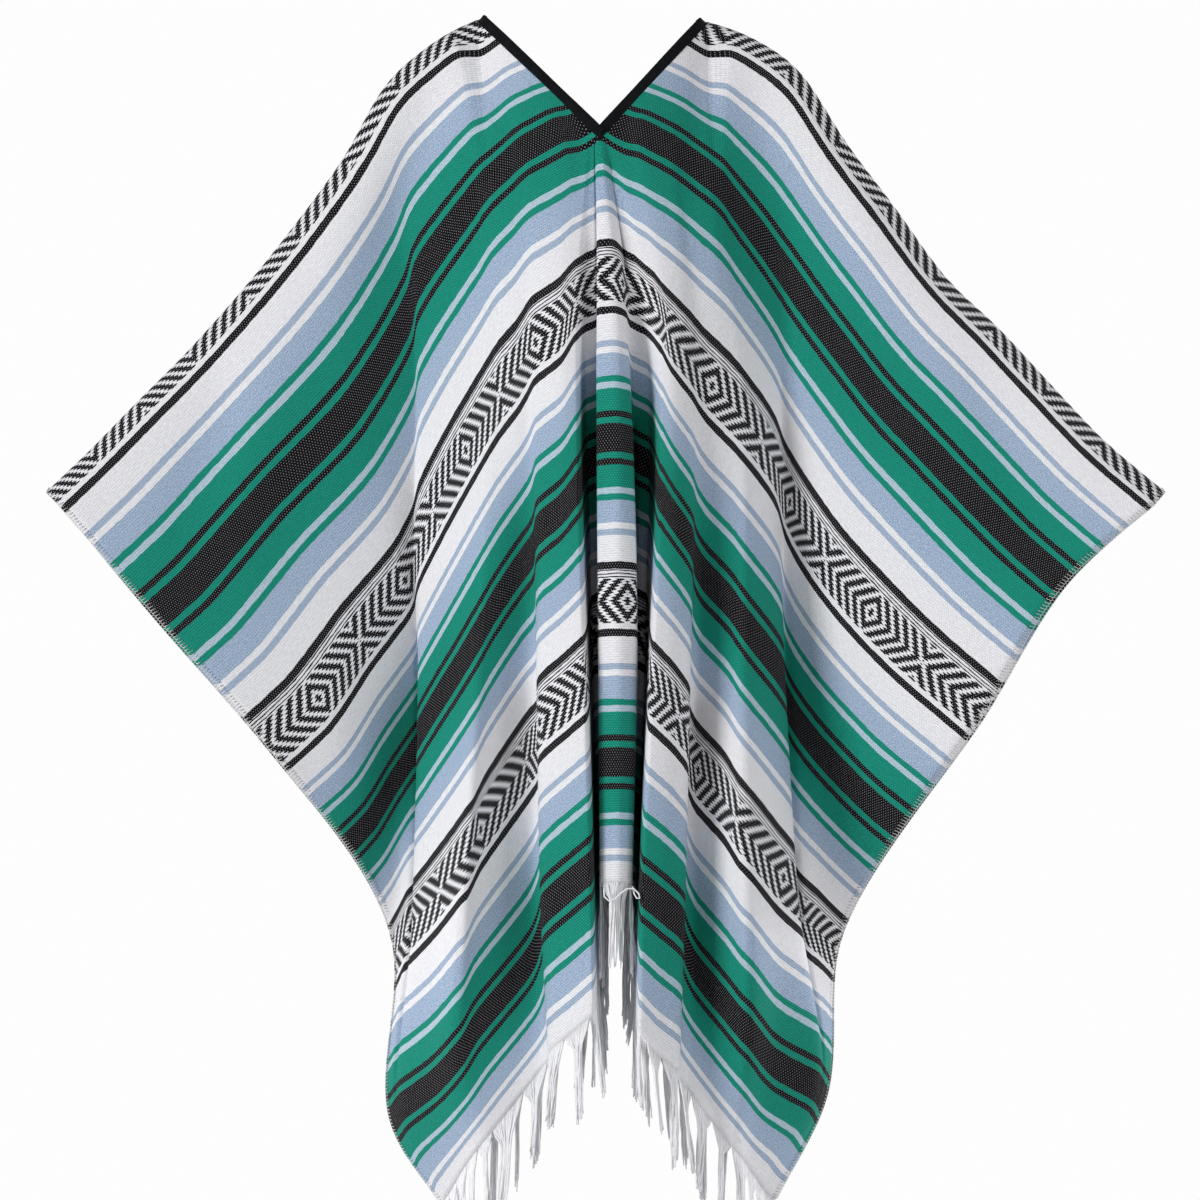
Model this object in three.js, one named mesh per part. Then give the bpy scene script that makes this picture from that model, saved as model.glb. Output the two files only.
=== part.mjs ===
// A Mexican poncho: one woven length of cloth with a bound neck slit, hanging open and hollow
// from a general pair of shoulders, with a fringe along its front and back hems.
// Millimetres. +X is the wearer's left, -Y the front, +Z up. The origin lies between the
// shoulders, at the top of the neck opening, where the wearer holds the cloth up.
import * as THREE from 'three';

// The cut of the cloth, laid flat: u runs across from the neck slit, v down from the shoulder
const HALF_WIDTH = 715;
const HEM_DROP = 912;
const SLIT_HALF_WIDTH = 15;
const SLIT_DROP = 182;
const CLOTH_THICKNESS = 2;
const STRIPE_REPEAT = 318;

// How the cloth rolls over the shoulders, and the neck opening as it is worn
const RIDGE_RADIUS = 15;
const NECK_BOTTOM = { x: -3, z: -121, depth: 78 };
const NECK_ROUNDING = 0.75;
const BACK_SPREAD = 1.01;

// The tape that binds the neck slit
const SEAM_GAP = 0.8;
const BINDING_WIDTH = 8;
const BINDING_THICKNESS = 3.2;

// The fringe: a narrow heading under each hem, and the locks that hang from it
const HEADING_HEIGHT = 5;
const HEADING_THICKNESS = 1.8;
const LOCKS_PER_HEM = 88;
const LOCK_SHARE = 0.42;
const LOCK_LENGTH = 88;
const LOCK_UNEVENNESS = 9;
const LOCK_TIP_SHARE = 0.45;
const LOCK_SWAY = 1.2;
const LOCK_LEAN = 4;
const LOCK_JITTER = 0.12;
const CUT_SLACK = 0.3;

// Mesh density: steps between neighbouring folds, and rows from the neck or shoulder to the hem
const ROWS = 15;
const ROW_BUNCHING = 1.25;
const TOP_FADE = 4;
const MITRE_LIMIT = 0.5;

// The folds, from the middle of the front or back out to the side edge. Each starts on the top
// line, measured along it from the bottom of the neck slit, up the slit and out over the
// shoulder. Steps is the number of mesh columns up to the next fold.
const FOLDS = [
  { name: 'middle strip', top: 0, steps: 1 },
  { name: 'strip edge', top: 4, steps: 4 },
  { name: 'deep recess, strip side', top: 8, steps: 1 },
  { name: 'deep recess, pipe side', top: 11, steps: 4 },
  { name: 'inner pipe, inner edge', top: 16, steps: 2 },
  { name: 'inner pipe, crown', top: 62, steps: 2 },
  { name: 'inner pipe, outer edge', top: 116, steps: 1 },
  { name: 'inner groove', top: 130, steps: 1 },
  { name: 'flat, inner side', top: 146, steps: 4 },
  { name: 'flat, outer side', top: SLIT_DROP, steps: 3 },
  { name: 'outer pipe, inner edge', top: 215, steps: 2 },
  { name: 'outer pipe, crown', top: 272, steps: 2 },
  { name: 'outer pipe, outer edge', top: 317, steps: 1 },
  { name: 'outer groove', top: 352, steps: 1 },
  { name: 'wing, inner part', top: 455, steps: 2 },
  { name: 'wing, middle', top: 617, steps: 2 },
  { name: 'wing, outer part', top: 787, steps: 1 },
  { name: 'side edge', top: SLIT_DROP + HALF_WIDTH - SLIT_HALF_WIDTH, steps: 0 },
];
const NECK_CORNER = 9;

// The shoulder line, from the neck corner out to the tip of the wing: how far out on the cloth,
// and where that lies on the left and the right side. Depth is shared.
const SHOULDER_LINE = [
  { out: SLIT_HALF_WIDTH, leftX: -122, leftZ: -4, rightX: 101, rightZ: -6, y: 0 },
  { out: 45, leftX: -148, leftZ: -16, rightX: 129, rightZ: -15, y: 0 },
  { out: 130, leftX: -208, leftZ: -64, rightX: 188, rightZ: -52, y: -6 },
  { out: 215, leftX: -254, leftZ: -142, rightX: 238, rightZ: -127, y: -18 },
  { out: 300, leftX: -304, leftZ: -211, rightX: 284, rightZ: -189, y: -32 },
  { out: 385, leftX: -351, leftZ: -270, rightX: 332, rightZ: -256, y: -46 },
  { out: 470, leftX: -404, leftZ: -330, rightX: 385, rightZ: -308, y: -60 },
  { out: 555, leftX: -452, leftZ: -379, rightX: 438, rightZ: -366, y: -76 },
  { out: 640, leftX: -498, leftZ: -427, rightX: 489, rightZ: -420, y: -94 },
  { out: HALF_WIDTH, leftX: -538, leftZ: -466, rightX: 543, rightZ: -466, y: -110 },
];

// Where each fold passes at five levels of the cloth. A row holds the fold's number above, then
// out (how far across the cloth), x and z for the left and the right side, and the depth y of
// the front layer and of the back layer.
const COLUMNS = [
  'fold', 'leftOut', 'leftX', 'leftZ', 'rightOut', 'rightX', 'rightZ', 'frontY', 'backY',
];
const YOKE = [
  [5, -30, -42, -113, 30, 36, -115, -72, 72],
  [6, -68, -73, -130, 68, 67, -131, -68, 70],
  [7, -76, -79, -134, 76, 73, -135, -66, 68],
  [8, -90, -88, -141, 90, 84, -142, -63, 66],
  [9, -122, -112, -164, 122, 109, -162, -56, 58],
  [10, -138, -121, -175, 138, 119, -173, -52, 54],
  [11, -200, -158, -224, 194, 149, -212, -40, 46],
  [12, -255, -183, -263, 230, 170, -241, -34, 30],
  [13, -275, -187, -284, 250, 178, -252, -32, 22],
  [14, -400, -245, -384, 350, 230, -324, -58, -12],
  [15, -512, -323, -466, 480, 298, -406, -80, -42],
  [16, -652, -398, -553, 640, 398, -512, -108, -70],
  [17, -HALF_WIDTH, -433, -585, HALF_WIDTH, 446, -554, -120, -92],
];
const CHEST = [
  [0, 20, 10, -257, 20, 10, -257, -104, 104],
  [1, 4, -5, -259, 36, 17, -260, -99, 100],
  [2, -16, -4, -266, 56, 23, -268, -90, 93],
  [3, -30, -17, -272, 68, 37, -275, -90, 93],
  [4, -45, -26, -279, 90, 51, -289, -102, 102],
  [5, -88, -40, -300, 133, 63, -309, -107, 105],
  [6, -130, -66, -319, 170, 84, -334, -99, 100],
  [7, -147, -72, -328, 180, 89, -341, -91, 94],
  [8, -178, -84, -348, 200, 100, -355, -88, 92],
  [9, -215, -101, -369, 243, 125, -380, -79, 84],
  [10, -245, -113, -388, 262, 136, -392, -76, 80],
  [11, -334, -146, -445, 300, 157, -419, -58, 66],
  [12, -422, -179, -510, 330, 169, -440, -38, 50],
  [13, -442, -183, -525, 352, 174, -456, -30, 42],
  [14, -470, -194, -550, 410, 192, -491, -38, 25],
  [15, -555, -239, -608, 507, 239, -556, -64, -20],
  [16, -652, -284, -672, 630, 307, -626, -92, -58],
  [17, -HALF_WIDTH, -325, -711, HALF_WIDTH, 369, -679, -112, -84],
];
const WAIST = [
  [0, 28, 14, -569, 28, 14, -569, -150, 128],
  [1, 7, -3, -570, 50, 30, -570, -140, 121],
  [2, -108, 4, -598, 150, 31, -596, -46, 46],
  [3, -118, -10, -604, 160, 42, -602, -46, 46],
  [4, -225, -20, -648, 240, 48, -654, -160, 135],
  [5, -266, -41, -667, 280, 65, -671, -153, 130],
  [6, -305, -65, -689, 318, 84, -697, -130, 114],
  [7, -335, -60, -708, 342, 80, -712, -100, 92],
  [8, -375, -71, -719, 368, 88, -728, -96, 90],
  [9, -468, -119, -789, 440, 118, -761, -122, 108],
  [10, -504, -132, -816, 478, 135, -790, -134, 116],
  [11, -555, -156, -850, 535, 166, -829, -98, 86],
  [12, -626, -188, -886, 585, 190, -856, -56, 48],
  [13, -650, -175, -876, 606, 185, -863, -36, 32],
  [14, -674, -190, -890, 640, 197, -881, -38, 34],
  [15, -690, -195, -900, 668, 208, -890, -28, 26],
  [16, -703, -199, -908, 695, 219, -901, -18, 17],
  [17, -HALF_WIDTH, -202, -915, HALF_WIDTH, 228, -910, -9, 10],
];
const SKIRT = [
  [4, -292, -14, -830, 305, 39, -850, -168, 146],
  [5, -330, -35, -848, 342, 58, -866, -158, 138],
  [6, -370, -61, -873, 380, 79, -886, -134, 120],
  [7, -392, -57, -886, 400, 76, -902, -106, 98],
  [8, -418, -68, -916, 422, 88, -925, -101, 93],
  [9, -525, -125, -985, 500, 121, -964, -119, 104],
  [10, -560, -140, -1012, 538, 138, -985, -122, 106],
  [11, -606, -165, -1040, 583, 164, -1019, -84, 74],
  [12, -655, -194, -1062, 640, 207, -1043, -42, 38],
  [13, -672, -198, -1067, 662, 210, -1048, -33, 30],
  [14, -685, -200, -1070, 678, 212, -1051, -28, 26],
  [15, -696, -202, -1073, 692, 213, -1054, -22, 21],
  [16, -706, -204, -1076, 704, 214, -1056, -15, 15],
  [17, -HALF_WIDTH, -206, -1078, HALF_WIDTH, 215, -1059, -9, 10],
];
const HEM = [
  [0, 28, 13, -842, 28, 13, -842, -165, 148],
  [1, 8, -1, -843, 50, 26, -843, -155, 140],
  [2, -165, 4, -895, 205, 22, -900, -18, 38],
  [3, -176, -4, -900, 216, 30, -906, -18, 38],
  [4, -348, -11, -970, 362, 36, -988, -172, 152],
  [5, -386, -30, -988, 396, 51, -1007, -160, 142],
  [6, -424, -53, -1007, 432, 74, -1024, -136, 124],
  [7, -440, -51, -1014, 448, 72, -1031, -122, 110],
  [8, -462, -59, -1023, 468, 80, -1041, -113, 102],
  [9, -545, -98, -1073, 545, 110, -1081, -104, 92],
  [10, -588, -116, -1095, 588, 127, -1102, -100, 90],
  [11, -634, -134, -1121, 626, 139, -1119, -66, 60],
  [12, -672, -147, -1144, 662, 150, -1136, -36, 32],
  [13, -683, -150, -1149, 676, 153, -1141, -27, 25],
  [14, -692, -152, -1152, 688, 156, -1145, -22, 21],
  [15, -700, -153, -1155, 698, 159, -1148, -18, 17],
  [16, -708, -154, -1159, 707, 162, -1151, -13, 13],
  [17, -HALF_WIDTH, -156, -1162, HALF_WIDTH, 168, -1155, -9, 9],
];
const LEVELS = [
  { drop: STRIPE_REPEAT / 2, rows: YOKE },
  { drop: STRIPE_REPEAT, rows: CHEST },
  { drop: STRIPE_REPEAT * 2, rows: WAIST },
  { drop: STRIPE_REPEAT * 2.5, rows: SKIRT },
  { drop: HEM_DROP, rows: HEM },
];

const COLOURS = { cloth: 0x0f8468, binding: 0x141417, fringe: 0xe6e6ea };
const ROUGHNESS = 0.9;

// A point of the cloth is [x, y, z, out, drop]: its place in space and on the flat cloth
const mix = (a, b, share) => a.map((value, k) => value + (b[k] - value) * share);
const distance = (a, b) => Math.hypot(a[0] - b[0], a[1] - b[1], a[2] - b[2]);

// A smooth curve through points at rising knots; an end may be given the slope it starts with.
// A long span beside a short one bends only near their shared point, so that a wall stays flat
// right up to the fold at its end.
const PULL_REACH = 1.5;
function smoothAt(points, knots, knot, firstSlope) {
  const last = points.length - 1;
  let i = 0;
  while (i < last - 1 && knot > knots[i + 1]) {
    i += 1;
  }
  const chord = (k) =>
    points[k + 1].map((value, n) => (value - points[k][n]) / (knots[k + 1] - knots[k]));
  const slope = (k) => {
    if (k === 0) {
      return firstSlope ?? chord(0);
    }
    if (k === last) {
      return chord(last - 1);
    }
    const before = knots[k] - knots[k - 1];
    const after = knots[k + 1] - knots[k];
    return mix(chord(k - 1), chord(k), before / (before + after));
  };
  const span = knots[i + 1] - knots[i];
  const reach = (k) => Math.min(span, PULL_REACH * ((knots[k + 1] - knots[k]) || span));
  const t = (knot - knots[i]) / span;
  const start = slope(i);
  const end = slope(i + 1);
  const startShare = 2 * t ** 3 - 3 * t ** 2 + 1;
  const startPull = (t ** 3 - 2 * t ** 2 + t) * reach(i - 1);
  const endPull = (t ** 3 - t ** 2) * reach(i + 1);
  return points[i].map((value, n) =>
    value * startShare + points[i + 1][n] * (1 - startShare) + start[n] * startPull + end[n] * endPull);
}

// The top line of one side: up the neck slit, then out over the shoulder
function topPoint(side, layer, along) {
  const sign = side === 'left' ? -1 : 1;
  const facing = layer === 'front' ? -1 : 1;
  const shoulder = SHOULDER_LINE.map((row) =>
    [row[`${side}X`], row.y, row[`${side}Z`], sign * row.out, 0]);
  if (along >= SLIT_DROP) {
    return smoothAt(shoulder, SHOULDER_LINE.map((row) => row.out), SLIT_HALF_WIDTH + along - SLIT_DROP);
  }
  const drop = SLIT_DROP - along;
  const share = drop / SLIT_DROP;
  const bottom = [NECK_BOTTOM.x, 0, NECK_BOTTOM.z, 0, SLIT_DROP];
  const point = mix(shoulder[0], bottom, share);
  point[1] = facing * NECK_BOTTOM.depth * share ** NECK_ROUNDING;
  return point;
}

// Just past the shoulder line the cloth has rolled over a rounded ridge
function rolledPoint(side, facing, along) {
  const here = topPoint(side, 'front', along);
  const next = topPoint(side, 'front', along + 1);
  const run = new THREE.Vector2(next[0] - here[0], next[2] - here[2]).normalize();
  const inward = side === 'left' ? [-run.y, run.x] : [run.y, -run.x];
  return [
    here[0] + inward[0] * RIDGE_RADIUS,
    here[1] + facing * RIDGE_RADIUS,
    here[2] + inward[1] * RIDGE_RADIUS,
    here[3],
    RIDGE_RADIUS * Math.PI / 2,
  ];
}

// One fold as a curve down the cloth: its points, and the drop of each
function foldCurve(side, layer, number) {
  const facing = layer === 'front' ? -1 : 1;
  const along = FOLDS[number].top;
  const spread = layer === 'front' ? 1 : BACK_SPREAD;
  const points = [topPoint(side, layer, along)];
  if (number > NECK_CORNER) {
    points.push(rolledPoint(side, facing, along));
  }
  for (const level of LEVELS) {
    const row = level.rows.find((entry) => entry[0] === number);
    if (row) {
      const at = Object.fromEntries(COLUMNS.map((name, k) => [name, row[k]]));
      points.push([at[`${side}X`] * spread, at[`${layer}Y`], at[`${side}Z`], at[`${side}Out`], level.drop]);
    }
  }
  const firstSlope = number > NECK_CORNER ? [0, facing, 0, 0, 1] : undefined;
  return { points, knots: points.map((point) => point[4]), firstSlope };
}

// A point of the cloth: fold is a whole number on a fold and a fraction between two folds,
// down runs from 0 on the top line to 1 at the hem
function clothPoint(curves, side, layer, fold, down) {
  const downFold = (curve, share) => {
    const first = curve.knots[0];
    return smoothAt(curve.points, curve.knots, first + (HEM_DROP - first) * share, curve.firstSlope);
  };
  const middle = FOLDS.length - 1;
  const across = (share) => {
    const points = curves.map((curve) => downFold(curve, share));
    const knots = [0];
    for (let k = 1; k < points.length; k += 1) {
      knots.push(knots[k - 1] + distance(points[k - 1], points[k]));
    }
    const position = side === 'left' ? middle - fold : middle + fold;
    const from = Math.min(Math.floor(position), points.length - 2);
    const knot = knots[from] + (knots[from + 1] - knots[from]) * (position - from);
    return smoothAt(points, knots, knot);
  };
  const whole = Math.min(Math.floor(fold), FOLDS.length - 2);
  const along = FOLDS[whole].top + (FOLDS[whole + 1].top - FOLDS[whole].top) * (fold - whole);
  const exact = topPoint(side, layer, along);
  const smooth = across(0);
  const fade = (1 - down) ** TOP_FADE;
  return across(down).map((value, k) => value + (exact[k] - smooth[k]) * fade);
}

// Mesh columns of one side, from the middle out: the fold number of each. They lie closer
// together at the folds than halfway between two folds.
const COLUMN_FOLDS = FOLDS.flatMap((fold, number) =>
  Array.from({ length: fold.steps }, (unused, step) =>
    number + (1 - Math.cos(Math.PI * step / fold.steps)) / 2)).concat(FOLDS.length - 1);

// Rows lie closer together near the shoulder, where the cloth turns over
const rowShare = (row) => (row / ROWS) ** ROW_BUNCHING;

// The middle surface of the whole cloth, one sheet: points and triangles that look outwards
function clothSheet() {
  const points = [];
  const triangles = [];
  const index = new Map();
  const edges = { hem: { front: [], back: [] }, neck: { front: [], back: [] } };
  const vertex = (side, layer, curves, column, row) => {
    const fold = COLUMN_FOLDS[column];
    const shared = row === 0 && fold >= NECK_CORNER;
    const sideName = column === 0 ? 'middle' : side;
    const key = `${shared ? 'ridge' : layer} ${sideName} ${column} ${row}`;
    if (!index.has(key)) {
      index.set(key, points.length);
      points.push(clothPoint(curves, side, layer, fold, rowShare(row)));
    }
    return index.get(key);
  };
  for (const layer of ['front', 'back']) {
    const numbers = FOLDS.map((fold, number) => number);
    const leftCurves = numbers.slice(1).reverse().map((number) => foldCurve('left', layer, number));
    const rightCurves = numbers.map((number) => foldCurve('right', layer, number));
    const curves = [...leftCurves, ...rightCurves];
    const line = { hem: [], neck: [] };
    for (const side of ['left', 'right']) {
      const ids = COLUMN_FOLDS.map((fold, column) =>
        Array.from({ length: ROWS + 1 }, (unused, row) => vertex(side, layer, curves, column, row)));
      const outward = (side === 'left') === (layer === 'front');
      for (let column = 0; column < ids.length - 1; column += 1) {
        for (let row = 0; row < ROWS; row += 1) {
          const a = ids[column][row];
          const b = ids[column + 1][row];
          const c = ids[column + 1][row + 1];
          const d = ids[column][row + 1];
          triangles.push(...(outward ? [[a, b, c], [a, c, d]] : [[a, c, b], [a, d, c]]));
        }
      }
      const neckColumns = COLUMN_FOLDS.filter((fold) => fold <= NECK_CORNER).length;
      const hemIds = ids.map((column) => column[ROWS]);
      const neckIds = ids.slice(0, neckColumns).map((column) => column[0]);
      if (side === 'left') {
        line.hem = hemIds.slice(1).reverse();
        line.neck = neckIds.slice(1).reverse();
      } else {
        line.hem.push(...hemIds);
        line.neck.push(...neckIds);
      }
    }
    edges.hem[layer] = line.hem;
    edges.neck[layer] = line.neck;
  }
  return { points, triangles, edges };
}

const vectorOf = (point) => new THREE.Vector3(point[0], point[1], point[2]);

function sheetNormals(sheet) {
  const normals = sheet.points.map(() => new THREE.Vector3());
  for (const [a, b, c] of sheet.triangles) {
    const pa = vectorOf(sheet.points[a]);
    const face = vectorOf(sheet.points[b]).sub(pa).cross(vectorOf(sheet.points[c]).sub(pa));
    for (const corner of [a, b, c]) {
      normals[corner].add(face);
    }
  }
  return normals.map((normal) => normal.normalize());
}

function geometryOf(points, triangles) {
  const geometry = new THREE.BufferGeometry();
  const places = points.flatMap((point) => [point.x, point.y, point.z]);
  geometry.setAttribute('position', new THREE.Float32BufferAttribute(places, 3));
  geometry.setIndex(triangles.flat());
  return geometry;
}

// A sheet made a wall: both faces, moved half the thickness each way, and a rim round every edge
function wallOf(sheet, normals, thickness) {
  const count = sheet.points.length;
  const half = thickness / 2;
  const outer = sheet.points.map((point, k) => vectorOf(point).addScaledVector(normals[k], half));
  const inner = sheet.points.map((point, k) => vectorOf(point).addScaledVector(normals[k], -half));
  const turned = sheet.triangles.map(([a, b, c]) => [a + count, c + count, b + count]);
  const triangles = [...sheet.triangles, ...turned];
  const sides = new Set(sheet.triangles.flatMap(([a, b, c]) => [`${a} ${b}`, `${b} ${c}`, `${c} ${a}`]));
  for (const side of sides) {
    const [a, b] = side.split(' ').map(Number);
    if (!sides.has(`${b} ${a}`)) {
      triangles.push([b, a, a + count], [b, a + count, b + count]);
    }
  }
  return geometryOf([...outer, ...inner], triangles);
}

// Stations along an edge of the cloth: the point, the cloth's normal, and the way out of the cloth
function edgeStations(sheet, normals, ids, closed, away) {
  const stations = ids.map((id) => ({ point: vectorOf(sheet.points[id]), normal: normals[id].clone() }));
  const count = stations.length;
  stations.forEach((station, k) => {
    const before = stations[closed ? (k + count - 1) % count : Math.max(k - 1, 0)].point;
    const after = stations[closed ? (k + 1) % count : Math.min(k + 1, count - 1)].point;
    const ways = [station.point.clone().sub(before), after.clone().sub(station.point)]
      .filter((run) => run.length() > 0)
      .map((run) => run.normalize().cross(station.normal).normalize())
      .map((way) => (way.dot(away(station.point)) < 0 ? way.negate() : way));
    const out = ways[0].clone().add(ways[ways.length - 1]).normalize();
    station.out = out.multiplyScalar(1 / Math.max(out.dot(ways[0]), MITRE_LIMIT));
  });
  return stations;
}

// The binding: a closed ring of tape that carries on from the cloth's edge into the neck opening
function bindingGeometry(sheet, normals) {
  const { front, back } = sheet.edges.neck;
  const loop = [...front, ...back.slice(1, -1).reverse()];
  const centre = new THREE.Vector3(NECK_BOTTOM.x, 0, 0);
  const stations = edgeStations(sheet, normals, loop, true, (point) => centre.clone().sub(point));
  const half = BINDING_THICKNESS / 2;
  const rim = SEAM_GAP + BINDING_WIDTH;
  const corners = [[SEAM_GAP, half], [rim, half], [rim, -half], [SEAM_GAP, -half]];
  const points = stations.flatMap((station) => corners.map(([out, up]) =>
    station.point.clone().addScaledVector(station.out, out).addScaledVector(station.normal, up)));
  const triangles = [];
  stations.forEach((station, k) => {
    const here = k * 4;
    const next = ((k + 1) % stations.length) * 4;
    for (let side = 0; side < 4; side += 1) {
      const turn = (side + 1) % 4;
      triangles.push([here + side, here + turn, next + turn], [here + side, next + turn, next + side]);
    }
  });
  return geometryOf(points, triangles);
}

// An even spread of small differences from -1 to 1, the same on every run
const NOISE = { numberStep: 12.9898, saltStep: 78.233, scale: 43758.5453 };
const uneven = (number, salt) => {
  const wave = Math.sin(number * NOISE.numberStep + salt * NOISE.saltStep) * NOISE.scale;
  return (wave - Math.floor(wave)) * 2 - 1;
};

// The fringe of one hem: a heading just under the cloth, and locks drawn down out of its underside
function fringeGeometry(sheet, normals, ids, salt) {
  const down = new THREE.Vector3(0, 0, -1);
  const edge = edgeStations(sheet, normals, ids, false, () => down);
  const lengths = [0];
  for (let k = 1; k < edge.length; k += 1) {
    lengths.push(lengths[k - 1] + edge[k].point.distanceTo(edge[k - 1].point));
  }
  const total = lengths[lengths.length - 1];
  const stationAt = (length) => {
    let k = 0;
    while (k < edge.length - 2 && length > lengths[k + 1]) {
      k += 1;
    }
    const share = (length - lengths[k]) / (lengths[k + 1] - lengths[k]);
    const blend = (name) => edge[k][name].clone().lerp(edge[k + 1][name], share);
    return { point: blend('point'), normal: blend('normal').normalize(), out: blend('out') };
  };
  const pitch = total / LOCKS_PER_HEM;
  const width = pitch * LOCK_SHARE;
  const corners = lengths.slice(1, -1);
  const bends = (start) => corners.filter((at) => at > start + CUT_SLACK && at < start + width - CUT_SLACK);
  const starts = [];
  for (let lock = 0; lock < LOCKS_PER_HEM; lock += 1) {
    const start = (lock + 0.5 + uneven(lock, salt) * LOCK_JITTER) * pitch - width / 2;
    const [bend] = bends(start);
    const choices = bend === undefined ? [start] : [bend, bend - width];
    const clear = choices
      .sort((a, b) => Math.abs(a - start) - Math.abs(b - start))
      .filter((choice) => choice > (starts.at(-1) ?? 0) + width && choice + width < total)
      .find((choice) => bends(choice).length === 0);
    if (clear !== undefined) {
      starts.push(clear);
    }
  }
  const places = [0, total, ...corners, ...starts, ...starts.map((start) => start + width)]
    .sort((a, b) => a - b)
    .filter((place, k, all) => k === 0 || place - all[k - 1] > CUT_SLACK / 2);
  const lockAt = (place) => starts.findIndex((start) => place > start && place < start + width);
  const half = HEADING_THICKNESS / 2;
  const points = places.flatMap((place) => {
    const station = stationAt(place);
    const corner = (out, up) =>
      station.point.clone().addScaledVector(station.out, out).addScaledVector(station.normal, up);
    const low = SEAM_GAP + HEADING_HEIGHT;
    return [corner(SEAM_GAP, half), corner(low, half), corner(low, -half), corner(SEAM_GAP, -half)];
  });
  const triangles = [[0, 2, 1], [0, 3, 2]];
  const quad = (a, b, c, d) => triangles.push([a, b, c], [a, c, d]);
  for (let k = 0; k < places.length - 1; k += 1) {
    const here = k * 4;
    const next = here + 4;
    quad(here, here + 1, next + 1, next);
    quad(here + 2, here + 3, next + 3, next + 2);
    quad(here + 3, here, next, next + 3);
    const root = [here + 1, here + 2, next + 2, next + 1];
    const lock = lockAt((places[k] + places[k + 1]) / 2);
    if (lock < 0) {
      quad(...root);
      continue;
    }
    const centre = root.reduce((sum, id) => sum.add(points[id]), new THREE.Vector3()).multiplyScalar(0.25);
    const length = LOCK_LENGTH + uneven(lock, salt + 1) * LOCK_UNEVENNESS;
    const sway = new THREE.Vector3(uneven(lock, salt + 2), uneven(lock, salt + 3), 0);
    const lean = stationAt((places[k] + places[k + 1]) / 2).normal.setZ(0);
    const tip = root.map((id) => points.push(centre.clone()
      .add(points[id].clone().sub(centre).multiplyScalar(LOCK_TIP_SHARE).setZ(0))
      .addScaledVector(sway, LOCK_SWAY).addScaledVector(lean, -LOCK_LEAN)
      .addScaledVector(down, length)) - 1);
    for (let side = 0; side < 4; side += 1) {
      const turn = (side + 1) % 4;
      quad(root[side], root[turn], tip[turn], tip[side]);
    }
    quad(...tip);
  }
  const end = (places.length - 1) * 4;
  quad(end, end + 1, end + 2, end + 3);
  return geometryOf(points, triangles);
}

// The volume that a closed mesh holds is negative where its faces look inwards
function facingOut(geometry) {
  const position = geometry.getAttribute('position');
  const order = geometry.getIndex().array;
  const corner = (k) => new THREE.Vector3().fromBufferAttribute(position, order[k]);
  let volume = 0;
  for (let k = 0; k < order.length; k += 3) {
    volume += corner(k).dot(corner(k + 1).cross(corner(k + 2)));
  }
  if (volume < 0) {
    const turned = Array.from(order);
    for (let k = 0; k < turned.length; k += 3) {
      [turned[k + 1], turned[k + 2]] = [turned[k + 2], turned[k + 1]];
    }
    geometry.setIndex(turned);
  }
  return geometry;
}

function piece(name, geometry, colour) {
  const material = new THREE.MeshStandardMaterial({ color: colour, roughness: ROUGHNESS, metalness: 0 });
  const mesh = new THREE.Mesh(facingOut(geometry), material);
  mesh.name = name;
  return mesh;
}

const sheet = clothSheet();
const normals = sheetNormals(sheet);
const poncho = new THREE.Group();
const frontFringe = fringeGeometry(sheet, normals, sheet.edges.hem.front, 1);
const backFringe = fringeGeometry(sheet, normals, sheet.edges.hem.back, 5);
poncho.add(piece('cloth', wallOf(sheet, normals, CLOTH_THICKNESS), COLOURS.cloth));
poncho.add(piece('neck_binding', bindingGeometry(sheet, normals), COLOURS.binding));
poncho.add(piece('front_fringe', frontFringe, COLOURS.fringe));
poncho.add(piece('back_fringe', backFringe, COLOURS.fringe));

export default poncho;
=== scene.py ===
import math
import random
from bisect import bisect
from functools import lru_cache

import bmesh
import bpy
from bpy.props import FloatProperty, FloatVectorProperty, IntProperty, PointerProperty
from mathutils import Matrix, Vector


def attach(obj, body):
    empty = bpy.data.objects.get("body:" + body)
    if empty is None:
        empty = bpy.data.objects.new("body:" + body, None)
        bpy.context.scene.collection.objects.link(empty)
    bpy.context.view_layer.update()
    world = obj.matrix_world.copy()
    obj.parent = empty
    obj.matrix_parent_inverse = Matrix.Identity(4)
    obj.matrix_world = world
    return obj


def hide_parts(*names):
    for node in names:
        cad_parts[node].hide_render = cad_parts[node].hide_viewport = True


bl_info = {
    "name": "Woven Poncho",
    "version": (1, 0, 0),
    "blender": (4, 5, 0),
    "location": "3D View > Sidebar > Poncho",
    "description": "A striped woven poncho with a bound neck slit and fringed hems",
    "category": "Object",
}

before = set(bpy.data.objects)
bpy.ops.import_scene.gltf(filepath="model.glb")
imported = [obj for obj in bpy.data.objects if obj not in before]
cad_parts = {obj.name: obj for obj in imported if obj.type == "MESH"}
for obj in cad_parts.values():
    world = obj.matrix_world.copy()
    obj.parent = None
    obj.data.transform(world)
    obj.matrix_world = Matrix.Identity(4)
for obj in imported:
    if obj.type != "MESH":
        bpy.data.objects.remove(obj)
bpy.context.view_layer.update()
MM = 0.001
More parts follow.
